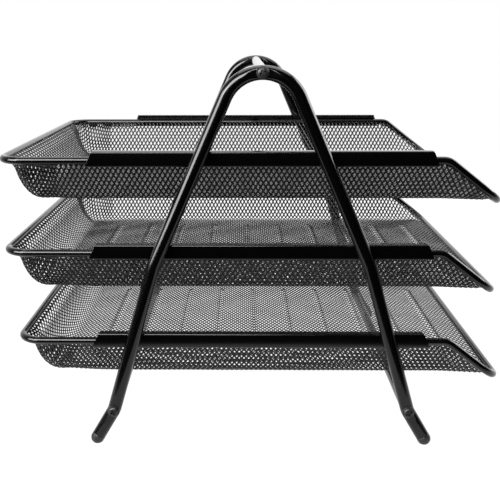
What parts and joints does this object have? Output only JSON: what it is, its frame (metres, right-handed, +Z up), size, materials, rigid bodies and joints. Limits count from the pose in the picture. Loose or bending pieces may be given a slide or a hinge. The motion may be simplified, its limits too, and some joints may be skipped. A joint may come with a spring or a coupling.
{
  "type": "letter tray",
  "caption": "Desk letter tray stand: sliding mesh trays with tube rims that run in C rails between bent-tube side frames joined by cross bars",
  "frame": {"origin": "middle of the overall footprint, on the ground", "axes": "+Z up, +X towards the low front ends of the trays, +Y towards the far side frame"},
  "size_m": [0.3596, 0.2992, 0.27],
  "materials": {
    "black_coat": "gloss black powder coat on steel tube and sheet",
    "rim_coat": "gloss black powder coat on thin steel tube",
    "mesh_coat": "satin black powder coat on expanded steel mesh",
    "bright_bar": "bright plated steel bar",
    "screw_black": "black-plated pan-head screws",
    "cap_plastic": "moulded black plastic foot cap",
    "pin_steel": "plain steel joining pin inside the rim tube"
  },
  "bodies": {
    "stand": {"side_frame_near": "black_coat", "side_frame_far": "black_coat", "rail_near_top": "black_coat", "rail_near_middle": "black_coat", "rail_near_bottom": "black_coat", "rail_far_top": "black_coat", "rail_far_middle": "black_coat", "rail_far_bottom": "black_coat", "cross_bar_top": "bright_bar", "cross_bar_back": "black_coat", "cross_bar_front": "black_coat", "frame_screws": "screw_black", "foot_caps": "cap_plastic"},
    "tray_top": {"rim_top": "rim_coat", "rim_pin_top": "pin_steel", "basket_top": "mesh_coat"},
    "tray_middle": {"rim_middle": "rim_coat", "rim_pin_middle": "pin_steel", "basket_middle": "mesh_coat"},
    "tray_bottom": {"rim_bottom": "rim_coat", "rim_pin_bottom": "pin_steel", "basket_bottom": "mesh_coat"}
  },
  "joints": [
    {"name": "tray_top_slide", "type": "slide", "parent": "stand", "child": "tray_top", "axis": [1, 0, 0], "range_m": [-0.0025, 0.31]},
    {"name": "tray_middle_slide", "type": "slide", "parent": "stand", "child": "tray_middle", "axis": [1, 0, 0], "range_m": [-0.0025, 0.31]},
    {"name": "tray_bottom_slide", "type": "slide", "parent": "stand", "child": "tray_bottom", "axis": [1, 0, 0], "range_m": [-0.009, 0.3035]}
  ]
}
